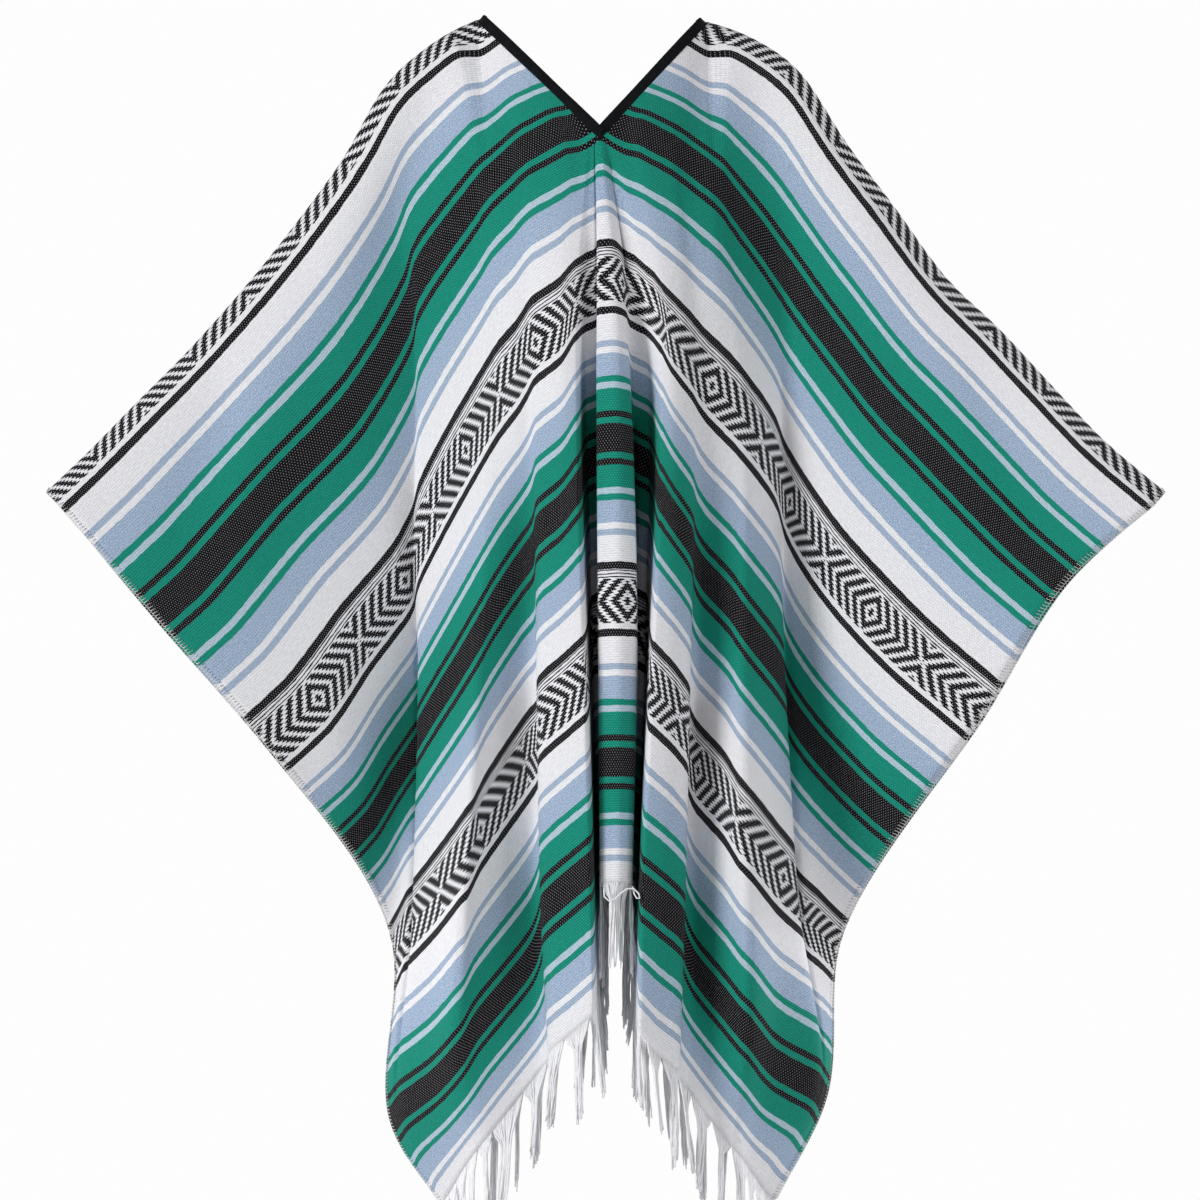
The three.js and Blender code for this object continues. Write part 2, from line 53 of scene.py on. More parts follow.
# Each lamp: its name, its place and its width in metres, and the setting that gives its watts
LAMPS = (
    ("key_light", (-4.4, -3.4, 0.9), 1.6, "key"),
    ("fill_light", (4.4, -3.2, 0.4), 1.8, "fill"),
    ("back_light", (4.4, 3.4, 0.9), 1.6, "key"),
    ("back_fill_light", (-4.4, 3.2, 0.4), 1.8, "fill"),
)
LAMP_AIM = (0, 0, -0.55)
CAMERA = {"x": -3, "z": -570, "front_of_cloth": 80}
MATH = "ShaderNodeMath"
MIX = "ShaderNodeMix"
RANGE = "ShaderNodeMapRange"

# The cut of the cloth, laid flat: out runs across from the neck slit, drop down from the shoulder
HALF_WIDTH = 715
HEM_DROP = 912
SLIT_HALF_WIDTH = 15
SLIT_DROP = 182
STRIPE_REPEAT = 318
RIDGE_RADIUS = 15
NECK_BOTTOM = {"x": -3, "z": -121, "depth": 78}
NECK_ROUNDING = 0.75
BACK_SPREAD = 1.01
TOP_FADE = 4
PULL_REACH = 1.5
ROW_BUNCHING = 1.1
ROUNDING = {"times": 4, "share": 0.5, "from_fold": 4.2}

# The folds, from the middle out to the side edge: where each starts on the top line, measured
# from the bottom of the neck slit, and the number of mesh columns up to the next fold
FOLD_COLUMNS = ("name", "top", "steps")
FOLDS = (
    ("middle strip", 0, 3),
    ("strip edge", 4, 10),
    ("deep recess, strip side", 8, 2),
    ("deep recess, pipe side", 11, 10),
    ("inner pipe, inner edge", 16, 5),
    ("inner pipe, crown", 62, 5),
    ("inner pipe, outer edge", 116, 3),
    ("inner groove", 130, 4),
    ("flat, inner side", 146, 7),
    ("flat, outer side", SLIT_DROP, 5),
    ("outer pipe, inner edge", 215, 6),
    ("outer pipe, crown", 272, 6),
    ("outer pipe, outer edge", 317, 3),
    ("outer groove", 352, 7),
    ("wing, inner part", 455, 9),
    ("wing, middle", 617, 9),
    ("wing, outer part", 787, 5),
    ("side edge", SLIT_DROP + HALF_WIDTH - SLIT_HALF_WIDTH, 0),
)
NECK_CORNER = 9

# The shoulder line, from the neck corner out to the tip of the wing
SHOULDER_COLUMNS = ("out", "leftX", "leftZ", "rightX", "rightZ", "y")
SHOULDER_LINE = (
    (SLIT_HALF_WIDTH, -122, -4, 101, -6, 0),
    (45, -148, -16, 129, -15, 0),
    (130, -208, -64, 188, -52, -6),
    (215, -254, -142, 238, -127, -18),
    (300, -304, -211, 284, -189, -32),
    (385, -351, -270, 332, -256, -46),
    (470, -404, -330, 385, -308, -60),
    (555, -452, -379, 438, -366, -76),
    (640, -498, -427, 489, -420, -94),
    (HALF_WIDTH, -538, -466, 543, -466, -110),
)

# Where each fold passes at five levels of the cloth: out, x and z on the left and the right side,
# and the depth y of the front layer and of the back layer
LEVEL_COLUMNS = (
    "fold", "leftOut", "leftX", "leftZ", "rightOut", "rightX", "rightZ", "frontY", "backY",
)
YOKE = (
    (5, -30, -42, -113, 30, 36, -115, -72, 72),
    (6, -68, -73, -130, 68, 67, -131, -68, 70),
    (7, -76, -79, -134, 76, 73, -135, -66, 68),
    (8, -90, -88, -141, 90, 84, -142, -63, 66),
    (9, -122, -112, -164, 122, 109, -162, -56, 58),
    (10, -138, -121, -175, 138, 119, -173, -52, 54),
    (11, -200, -158, -224, 194, 149, -212, -40, 46),
    (12, -255, -183, -263, 230, 170, -241, -34, 30),
    (13, -275, -187, -284, 250, 178, -252, -32, 22),
    (14, -400, -245, -384, 350, 230, -324, -58, -12),
    (15, -512, -323, -466, 480, 298, -406, -80, -42),
    (16, -652, -398, -553, 640, 398, -512, -108, -70),
    (17, -HALF_WIDTH, -433, -585, HALF_WIDTH, 446, -554, -120, -92),
)
CHEST = (
    (0, 20, 10, -257, 20, 10, -257, -104, 104),
    (1, 4, -5, -259, 36, 17, -260, -99, 100),
    (2, -16, -4, -266, 56, 23, -268, -90, 93),
    (3, -30, -17, -272, 68, 37, -275, -90, 93),
    (4, -45, -26, -279, 90, 51, -289, -102, 102),
    (5, -88, -40, -300, 133, 63, -309, -107, 105),
    (6, -130, -66, -319, 170, 84, -334, -99, 100),
    (7, -147, -72, -328, 180, 89, -341, -91, 94),
    (8, -178, -84, -348, 200, 100, -355, -88, 92),
    (9, -215, -101, -369, 243, 125, -380, -79, 84),
    (10, -245, -113, -388, 262, 136, -392, -76, 80),
    (11, -334, -146, -445, 300, 157, -419, -58, 66),
    (12, -422, -179, -510, 330, 169, -440, -38, 50),
    (13, -442, -183, -525, 352, 174, -456, -30, 42),
    (14, -470, -194, -550, 410, 192, -491, -38, 25),
    (15, -555, -239, -608, 507, 239, -556, -64, -20),
    (16, -652, -284, -672, 630, 307, -626, -92, -58),
    (17, -HALF_WIDTH, -325, -711, HALF_WIDTH, 369, -679, -112, -84),
)
WAIST = (
    (0, 28, 14, -569, 28, 14, -569, -150, 128),
    (1, 7, -3, -570, 50, 30, -570, -140, 121),
    (2, -108, 4, -598, 150, 31, -596, -46, 46),
    (3, -118, -10, -604, 160, 42, -602, -46, 46),
    (4, -225, -20, -648, 240, 48, -654, -160, 135),
    (5, -266, -41, -667, 280, 65, -671, -153, 130),
    (6, -305, -65, -689, 318, 84, -697, -130, 114),
    (7, -335, -60, -708, 342, 80, -712, -100, 92),
    (8, -375, -71, -719, 368, 88, -728, -96, 90),
    (9, -468, -119, -789, 440, 118, -761, -122, 108),
    (10, -504, -132, -816, 478, 135, -790, -134, 116),
    (11, -555, -156, -850, 535, 166, -829, -98, 86),
    (12, -626, -188, -886, 585, 190, -856, -56, 48),
    (13, -650, -175, -876, 606, 185, -863, -36, 32),
    (14, -674, -190, -890, 640, 197, -881, -38, 34),
    (15, -690, -195, -900, 668, 208, -890, -28, 26),
    (16, -703, -199, -908, 695, 219, -901, -18, 17),
    (17, -HALF_WIDTH, -202, -915, HALF_WIDTH, 228, -910, -9, 10),
)
SKIRT = (
    (4, -292, -14, -830, 305, 39, -850, -168, 146),
    (5, -330, -35, -848, 342, 58, -866, -158, 138),
    (6, -370, -61, -873, 380, 79, -886, -134, 120),
    (7, -392, -57, -886, 400, 76, -902, -106, 98),
    (8, -418, -68, -916, 422, 88, -925, -101, 93),
    (9, -525, -125, -985, 500, 121, -964, -119, 104),
    (10, -560, -140, -1012, 538, 138, -985, -122, 106),
    (11, -606, -165, -1040, 583, 164, -1019, -84, 74),
    (12, -655, -194, -1062, 640, 207, -1043, -42, 38),
    (13, -672, -198, -1067, 662, 210, -1048, -33, 30),
    (14, -685, -200, -1070, 678, 212, -1051, -28, 26),
    (15, -696, -202, -1073, 692, 213, -1054, -22, 21),
    (16, -706, -204, -1076, 704, 214, -1056, -15, 15),
    (17, -HALF_WIDTH, -206, -1078, HALF_WIDTH, 215, -1059, -9, 10),
)
HEM = (
    (0, 28, 13, -842, 28, 13, -842, -165, 148),
    (1, 8, -1, -843, 50, 26, -843, -155, 140),
    (2, -165, 4, -895, 205, 22, -900, -18, 38),
    (3, -176, -4, -900, 216, 30, -906, -18, 38),
    (4, -348, -11, -970, 362, 36, -988, -172, 152),
    (5, -386, -30, -988, 396, 51, -1007, -160, 142),
    (6, -424, -53, -1007, 432, 74, -1024, -136, 124),
    (7, -440, -51, -1014, 448, 72, -1031, -122, 110),
    (8, -462, -59, -1023, 468, 80, -1041, -113, 102),
    (9, -545, -98, -1073, 545, 110, -1081, -104, 92),
    (10, -588, -116, -1095, 588, 127, -1102, -100, 90),
    (11, -634, -134, -1121, 626, 139, -1119, -66, 60),
    (12, -672, -147, -1144, 662, 150, -1136, -36, 32),
    (13, -683, -150, -1149, 676, 153, -1141, -27, 25),
    (14, -692, -152, -1152, 688, 156, -1145, -22, 21),
    (15, -700, -153, -1155, 698, 159, -1148, -18, 17),
    (16, -708, -154, -1159, 707, 162, -1151, -13, 13),
    (17, -HALF_WIDTH, -156, -1162, HALF_WIDTH, 168, -1155, -9, 9),
)
LEVELS = (
    (STRIPE_REPEAT / 2, YOKE),
    (STRIPE_REPEAT, CHEST),
    (STRIPE_REPEAT * 2, WAIST),
    (STRIPE_REPEAT * 2.5, SKIRT),
    (HEM_DROP, HEM),
)

# Soft creases of the front, seen from the front: where each starts and ends, how wide it is, and
# how far it stands out, or sinks where that is less than nought. The back has them mirrored.
CREASE_REACH = 2.5
CREASE_FULLNESS = 0.7
CREASE_FREE_EDGE = 30
CREASE_COLUMNS = ("name", "fromX", "fromZ", "toX", "toZ", "width", "rise")
CREASES = (
    ("left shoulder, upper drag", -150, -30, -230, -300, 26, -5),
    ("left shoulder, lower drag", -186, -70, -300, -330, 30, 5),
    ("right shoulder, upper drag", 132, -28, 214, -290, 26, -5),
    ("right shoulder, lower drag", 176, -62, 300, -310, 30, 5),
    ("left neck corner pull", -112, -20, -96, -190, 18, -4),
    ("right neck corner pull", 96, -20, 92, -190, 18, -4),
    ("left wing sag", -300, -260, -370, -560, 34, 5),
    ("left wing hollow", -360, -330, -410, -560, 30, -4),
    ("right wing sag", 300, -240, 380, -560, 34, 5),
    ("right wing hollow", 360, -320, 430, -540, 30, -4),
    ("left side ripple", -250, -560, -262, -860, 30, 4),
    ("right side ripple", 262, -540, 280, -850, 30, 4),
    ("left panel ripple", -150, -620, -146, -1040, 20, 4),
    ("right panel ripple", 150, -640, 142, -1060, 20, 4),
)

# The stripes outwards from the middle of a patterned band to halfway between two bands: the
# colour of each, and how far from the middle it ends
STRIPES = (
    ("white", 29.3),
    ("black", 36.1),
    ("white", 63.1),
    ("slate", 68.4),
    ("white", 74.7),
    ("blue", 98.0),
    ("green", 103.8),
    ("pale", 109.6),
    ("green", 132.9),
    ("black", 138.7),
    ("green", 144.5),
    ("black", 159.0),
)
# The patterned band: nested diamonds that meet in crosses, and fine lines beside them
DIAMOND_BAND = {"low": -19.2, "high": 24.5, "repeat": 170, "first": 40}
DIAMOND_RINGS = {"pitch": 15.2, "first": 2.9, "black": 4.7, "tooth": 3.2, "tooth_slant": 3.0}
FINE_LINES = {"low": -28.6, "high": -19.2, "first": -27.4, "pitch": 3.2, "black": 0.62}
# How much white fibre is spun into each yarn, and the spacing of weft rows and warp yarns in
# millimetres, a little coarser than the real ones so that they show, with the flecks between them
HEATHER = {"white": 0, "black": 0, "green": 0.008, "blue": 0.4, "pale": 0.35, "slate": 0.3}
WEAVE = {"row": 2.3, "yarn": 3.0, "fleck_width": 0.09, "fleck_gap": 0.26, "fleck_share": 0.36}

# Across the tape of the neck binding, from the edge of the cloth out: how far it laps on the
# cloth, how wide its rounded borders are, and how full they are
TAPE = {"lap": 1.6, "inner_border": 1.2, "outer_border": 1.4, "tip": 0.3, "inner": 0.8, "outer": 0.6}
# Steps of the tape's own pattern, along it and across it
TAPE_GRAIN = {"along": 4, "across": 2}
MITRE_LIMIT = 0.5

# A lock of the fringe: how far it leans back and strays, the range of its length and of how
# tightly and how soon it gathers, then the ranges for each of its yarns, and their thinning
LOCK = {
    "lean": -4, "stray_x": 6, "stray_y": 2, "length": (0.8, 1.06), "tight": (0.17, 0.36),
    "gather": (0.18, 0.4), "steps": 9, "own_length": (0.84, 1.0), "wave": (0.5, 1.6),
    "turns": (4, 8), "hidden_root": 2, "thinning": 0.4,
}
# The overlock: how far a stitch reaches on to the cloth, and how far it stands off the edge
OVERLOCK = {"reach": (4.2, 5.4), "off_edge": 1.2, "knot": 1.6, "end": 2}
# The hem stitches: the two rows' distances from the hem, their pitch, how far a stitch dips into
# the cloth and stands up, and where it rises and sinks along its length
HEM_STITCH = {
    "rows": (5.0, 9.5), "pitch": 3.6, "end": 3, "dip": 0.3, "stand": 0.25,
    "rises": 0.8, "sinks": 2.0, "length": 2.8,
}

# A loop of loose yarn on the middle strip, from its left corner to its right: x, z, and y in
# front of the hem
LOOSE_LOOP = (
    (1.6, 0, -842.7), (0.8, -4, -850), (1.2, -6, -855.5), (5.6, -7, -859.6), (11.6, -7, -857.5),
    (17.5, -7, -851.7), (23.3, -6, -847.8), (29.4, -6, -847.7), (34.3, -6, -852.6),
    (35.3, -6, -857.1), (32.3, -5, -857.1), (29.9, -4, -852.6), (28.3, 0, -846),
)


def linear_colour(code):
    """A colour of a hex code such as #0F8468, as the linear numbers that shaders take."""
    parts = [int(code[k:k + 2], 16) / 255 for k in (1, 3, 5)]
    return [c / 12.92 if c <= 0.04045 else ((c + 0.055) / 1.055) ** 2.4 for c in parts] + [1.0]


def colour_property(name, code, description):
    return FloatVectorProperty(
        name=name, description=description, subtype="COLOR", size=4, min=0, max=1,
        default=linear_colour(code),
    )


class PonchoCloth(bpy.types.PropertyGroup):
    """The woven cloth and its colours"""

    thickness: FloatProperty(
        name="Thickness", description="Thickness of the cloth", default=2 * MM, unit="LENGTH",
    )
    crease: FloatProperty(
        name="Creases", description="Share of the full depth of the soft creases", default=1.0,
    )
    rows: IntProperty(
        name="Rows", description="Mesh rows from the shoulder to the hem", default=118, min=15,
    )
    white: colour_property("White", "#E0E0E4", "White yarn of the ground and the patterned bands")
    black: colour_property("Black", "#0F0E12", "Black yarn")
    green: colour_property("Green", "#04836F", "Green yarn")
    blue: colour_property("Blue", "#849EBC", "Light blue yarn")
    pale: colour_property("Pale blue", "#9DB6C6", "Pale blue yarn inside the green stripes")
    slate: colour_property("Grey blue", "#8EA3BC", "Grey blue yarn of the single fine stripe")


class PonchoTrim(bpy.types.PropertyGroup):
    """The neck binding and the sewing"""

    binding_width: FloatProperty(
        name="Binding width", description="How far the tape stands into the neck opening",
        default=8.8 * MM, unit="LENGTH",
    )
    binding_thickness: FloatProperty(
        name="Binding thickness", description="Thickness of the folded tape", default=3.2 * MM,
        unit="LENGTH",
    )
    thread: FloatProperty(
        name="Thread", description="Radius of the sewing thread", default=0.42 * MM, unit="LENGTH",
    )
    overlock_pitch: FloatProperty(
        name="Overlock pitch", description="Distance between two overlock stitches",
        default=3.4 * MM, unit="LENGTH",
    )
    tape: colour_property("Tape", "#0C0D10", "Black binding tape")
    cotton: colour_property("Sewing thread", "#DAD9D8", "Undyed sewing thread")


class PonchoFringe(bpy.types.PropertyGroup):
    """The fringe along both hems"""

    spacing: FloatProperty(
        name="Yarn spacing", description="Distance between two yarns along the hem",
        default=2.1 * MM, unit="LENGTH",
    )
    fewest: IntProperty(
        name="Fewest yarns", description="Yarns in the thinnest lock", default=9, min=2,
    )
    most: IntProperty(
        name="Most yarns", description="Yarns in the thickest lock", default=23, min=3,
    )
    length: FloatProperty(
        name="Length", description="Length of a lock", default=94 * MM, unit="LENGTH",
    )
    yarn: FloatProperty(
        name="Yarn", description="Radius of one yarn", default=1.05 * MM, unit="LENGTH",
    )
    white: colour_property("Yarn colour", "#E9E9EC", "White yarn of the fringe")


class PonchoStage(bpy.types.PropertyGroup):
    """Floor, light and camera"""

    distance: FloatProperty(
        name="Camera distance", description="From the camera to the front of the cloth",
        default=12.0, unit="LENGTH",
    )
    view: FloatProperty(
        name="View width", description="Width that the camera sees at the cloth",
        default=1.164, unit="LENGTH",
    )
    floor: FloatProperty(
        name="Floor height", description="Height of the floor below the shoulders",
        default=-1.42, unit="LENGTH",
    )
    floor_radius: FloatProperty(
        name="Floor radius", description="From the middle of the floor to its edge",
        default=4.0, unit="LENGTH",
    )
    surround: FloatProperty(
        name="Surround", description="Strength of the soft light from all round", default=0.3,
    )
    backdrop: FloatProperty(
        name="Backdrop", description="Brightness of the white backdrop", default=0.985,
    )
    key: FloatProperty(
        name="Key light", description="Watts of the soft light from the front left", default=238,
    )
    fill: FloatProperty(
        name="Fill light", description="Watts of the soft light from the front right", default=84,
    )


def row_values(columns, row):
    return dict(zip(columns, row))


def fold_value(number, column):
    return row_values(FOLD_COLUMNS, FOLDS[number])[column]


def smooth_line(points, knots, first_slope=None):
    """A smooth curve through points at rising knots, as a function of the knot. A long span
    beside a short one bends only near their shared point, so that a wall stays flat."""
    last = len(points) - 1
    spans = [b - a for a, b in zip(knots, knots[1:])]
    chords = [(b - a) / span for a, b, span in zip(points, points[1:], spans)]
    slopes = [chords[0] if first_slope is None else first_slope]
    for k in range(1, last):
        slopes.append(chords[k - 1].lerp(chords[k], spans[k - 1] / (spans[k - 1] + spans[k])))
    slopes.append(chords[-1])

    def at(knot):
        i = min(max(bisect(knots, knot) - 1, 0), last - 1)
        span = spans[i]
        t = (knot - knots[i]) / span
        pull_in = min(span, PULL_REACH * spans[i - 1]) if i > 0 else span
        pull_out = min(span, PULL_REACH * spans[i + 1]) if i + 1 < last else span
        start_share = 2 * t ** 3 - 3 * t ** 2 + 1
        return (
            points[i] * start_share
            + points[i + 1] * (1 - start_share)
            + slopes[i] * ((t ** 3 - 2 * t ** 2 + t) * pull_in)
            + slopes[i + 1] * ((t ** 3 - t ** 2) * pull_out)
        )

    return at


@lru_cache(maxsize=None)
def shoulder_curve(side):
    rows = [row_values(SHOULDER_COLUMNS, row) for row in SHOULDER_LINE]
    sign = -1 if side == "left" else 1
    points = [
        Vector((row[side + "X"], row["y"], row[side + "Z"], sign * row["out"], 0)) for row in rows
    ]
    return points[0], smooth_line(points, [row["out"] for row in rows])


def top_point(side, layer, along):
    """A point of the top line of one side: up the neck slit, then out over the shoulder."""
    corner, shoulder = shoulder_curve(side)
    if along >= SLIT_DROP:
        return shoulder(SLIT_HALF_WIDTH + along - SLIT_DROP)
    share = (SLIT_DROP - along) / SLIT_DROP
    point = corner.lerp(Vector((NECK_BOTTOM["x"], 0, NECK_BOTTOM["z"], 0, SLIT_DROP)), share)
    facing = -1 if layer == "front" else 1
    point[1] = facing * NECK_BOTTOM["depth"] * share ** NECK_ROUNDING
    return point


def rolled_point(side, facing, along):
    """Just past the shoulder line, where the cloth has rolled over a rounded ridge."""
    here = top_point(side, "front", along)
    after = top_point(side, "front", along + 1)
    run = Vector((after[0] - here[0], after[2] - here[2])).normalized()
    turn = -1 if side == "left" else 1
    return Vector((
        here[0] + turn * run.y * RIDGE_RADIUS,
        here[1] + facing * RIDGE_RADIUS,
        here[2] - turn * run.x * RIDGE_RADIUS,
        here[3],
        RIDGE_RADIUS * math.pi / 2,
    ))


def fold_curve(side, layer, number):
    """One fold as a curve down the cloth: its first drop, and a function of the drop."""
    facing = -1 if layer == "front" else 1
    spread = 1 if layer == "front" else BACK_SPREAD
    along = fold_value(number, "top")
    points = [top_point(side, layer, along)]
    if number > NECK_CORNER:
        points.append(rolled_point(side, facing, along))
    for drop, rows in LEVELS:
        for row in rows:
            if row[0] == number:
                at = row_values(LEVEL_COLUMNS, row)
                points.append(Vector((
                    at[side + "X"] * spread, at[layer + "Y"], at[side + "Z"], at[side + "Out"], drop,
                )))
    first_slope = Vector((0, facing, 0, 0, 1)) if number > NECK_CORNER else None
    return points[0][4], smooth_line(points, [point[4] for point in points], first_slope)


def column_folds():
    """The place of each mesh column among the folds, from the left side edge to the right. They
    lie closer together at the folds than halfway between two folds."""
    right = []
    for number in range(len(FOLDS)):
        steps = fold_value(number, "steps")
        for step in range(steps):
            right.append(number + (1 - math.cos(math.pi * step / steps)) / 2)
    right.append(len(FOLDS) - 1)
    return [-place for place in reversed(right[1:])] + right


def rounded(line, places, share):
    """A row of points with each one drawn towards its neighbours, but for the narrow strip in
    the middle and the side edges."""
    drawn = list(line)
    for k in range(1, len(line) - 1):
        if abs(places[k]) > ROUNDING["from_fold"]:
            drawn[k] = line[k].lerp((line[k - 1] + line[k + 1]) / 2, share)
    return drawn


@lru_cache(maxsize=None)
def cloth_rows(layer, rows):
    """The middle surface of the front or the back: for each row down the cloth, its points as
    x, y, z, out and drop, with the folds rounded as far as a soft blanket cloth rounds them."""
    numbers = range(len(FOLDS))
    curves = [fold_curve("left", layer, number) for number in reversed(numbers[1:])]
    curves += [fold_curve("right", layer, number) for number in numbers]
    middle = len(FOLDS) - 1
    places = column_folds()

    def across(share):
        points = [curve(first + (HEM_DROP - first) * share) for first, curve in curves]
        knots = [0]
        for a, b in zip(points, points[1:]):
            knots.append(knots[-1] + (Vector(b[:3]) - Vector(a[:3])).length)
        line = smooth_line(points, knots)
        made = []
        for place in places:
            position = middle + place
            whole = min(int(position), len(points) - 2)
            made.append(line(knots[whole] + (knots[whole + 1] - knots[whole]) * (position - whole)))
        return made

    smooth_top = across(0)
    lifts = []
    for place, smooth in zip(places, smooth_top):
        whole = min(int(abs(place)), middle - 1)
        tops = fold_value(whole, "top"), fold_value(whole + 1, "top")
        along = tops[0] + (tops[1] - tops[0]) * (abs(place) - whole)
        lifts.append(top_point("left" if place < 0 else "right", layer, along) - smooth)
    made = []
    for row in range(rows + 1):
        share = (row / rows) ** ROW_BUNCHING
        fade = (1 - share) ** TOP_FADE
        line = [point + lift * fade for point, lift in zip(across(share), lifts)]
        for _ in range(ROUNDING["times"]):
            line = rounded(line, places, ROUNDING["share"] * (1 - fade))
        made.append(line)
    return made


@lru_cache(maxsize=None)
def crease_lines():
    """Each crease as its start, the run to its end, its width and its rise."""
    lines = []
    for row in CREASES:
        crease = row_values(CREASE_COLUMNS, row)
        start = Vector((crease["fromX"], crease["fromZ"]))
        run = Vector((crease["toX"], crease["toZ"])) - start
        lines.append((start, run, run.length_squared, crease["width"], crease["rise"]))
    return lines


def crease_rise(point, layer):
    """How far the soft creases lift a point of the cloth, in millimetres."""
    x = point.x / MM if layer == "front" else -point.x / MM
    here = Vector((x, point.z / MM))
    rise = 0
    for start, run, run_squared, width, height in crease_lines():
        offset = here - start
        share = offset.dot(run) / run_squared
        if 0 < share < 1:
            away = (offset - run * share).length / width
            if away < CREASE_REACH:
                swell = math.sin(math.pi * share) ** CREASE_FULLNESS
                rise += height * math.exp(-away ** 2) * swell
    return rise


def grid_mesh(columns, rows):
    """A mesh grid with room for the cut's own places, and the column and row of each point."""
    mesh = bmesh.new()
    mesh.verts.layers.float.new("out")
    mesh.verts.layers.float.new("drop")
    mesh.loops.layers.uv.new("cut")
    bmesh.ops.create_grid(mesh, x_segments=columns, y_segments=rows, size=0.5)
    places = {
        vert: (round((vert.co.x + 0.5) * columns), round((vert.co.y + 0.5) * rows))
        for vert in mesh.verts
    }
    return mesh, places


def finished_object(mesh, name, material):
    """A mesh as a smooth-shaded object of the scene, with its material."""
    for face in mesh.faces:
        face.smooth = True
    data = bpy.data.meshes.new(name)
    mesh.to_mesh(data)
    mesh.free()
    data.materials.append(material)
    piece = bpy.data.objects.new(name, data)
    bpy.context.scene.collection.objects.link(piece)
    return piece


def add(tree, kind, inputs=(), out=0, **settings):
    """Adds one node and returns one of its outputs. Inputs are values or links, in the order of
    the sockets or by their names, and settings are the node's own."""
    node = tree.nodes.new(kind)
    for name, value in settings.items():
        setattr(node, name, value)
    named = inputs if isinstance(inputs, dict) else dict(enumerate(inputs))
    for socket, value in named.items():
        if isinstance(value, bpy.types.NodeSocket):
            tree.links.new(value, node.inputs[socket])
        else:
            node.inputs[socket].default_value = value
    return node.outputs[out]


def new_material(name, finish):
    """A material with its node tree and its surface shader, set to the plain values of a finish."""
    material = bpy.data.materials.new(name)
    material.use_nodes = True
    tree = material.node_tree
    shader = tree.nodes["Principled BSDF"]
    for socket, value in finish.items():
        shader.inputs[socket].default_value = value
    return material, tree, shader


def cut_place(tree):
    """Where a point lies on the flat cut: out from the middle and down from the shoulder, in
    millimetres."""
    flat = add(tree, "ShaderNodeUVMap", uv_map="cut")
    metres = add(tree, "ShaderNodeSeparateXYZ", (flat,)).node.outputs
    return [add(tree, MATH, (metres[k], 1 / MM), operation="MULTIPLY") for k in (0, 1)]


def noise(tree, out, drop, out_grain, drop_grain, detail):
    """Unevenness on the flat cut, with grains of so many millimetres out and down."""
    place = add(tree, "ShaderNodeCombineXYZ", (
        add(tree, MATH, (out, 1 / out_grain), operation="MULTIPLY"),
        add(tree, MATH, (drop, 1 / drop_grain), operation="MULTIPLY"),
    ))
    return add(tree, "ShaderNodeTexNoise", {"Vector": place, "Scale": 1.0, "Detail": detail})


def within(tree, value, low, high):
    above = add(tree, MATH, (value, low), operation="GREATER_THAN")
    below = add(tree, MATH, (value, high), operation="LESS_THAN")
    return add(tree, MATH, (above, below), operation="MULTIPLY")


def shaded(tree, colour, shade):
    """A colour made darker or lighter by a shade."""
    grey = add(tree, "ShaderNodeCombineColor", (shade, shade, shade))
    return add(tree, MIX, {0: 1.0, 6: colour, 7: grey}, out=2, data_type="RGBA",
               blend_type="MULTIPLY")


def stripe_stops():
    """Each stripe of one repeat: its colour, and where it starts as a share of the repeat."""
    half = STRIPE_REPEAT / 2
    outwards = []
    start = 0
    for colour, end in STRIPES:
        outwards.append((colour, start, end))
        start = end
    stops = [(colour, half - end) for colour, start, end in reversed(outwards)]
    stops += [(colour, half + start) for colour, start, end in outwards[1:]]
    return [(colour, place / STRIPE_REPEAT) for colour, place in stops]


def stripe_colours(tree, cloth, in_repeat):
    """The colour of the stripe at a place in the repeat, and how much white is spun into it."""
    share = add(tree, MATH, (in_repeat, 1 / STRIPE_REPEAT, 0.5), operation="MULTIPLY_ADD")
    chart = add(tree, "ShaderNodeValToRGB", (share,)).node
    ramp = chart.color_ramp
    ramp.interpolation = "CONSTANT"
    ramp.elements.remove(ramp.elements[-1])
    for number, (colour, place) in enumerate(stripe_stops()):
        stop = ramp.elements[0] if number == 0 else ramp.elements.new(place)
        stop.position = place
        stop.color = (*getattr(cloth, colour)[:3], HEATHER[colour])
    return chart.outputs


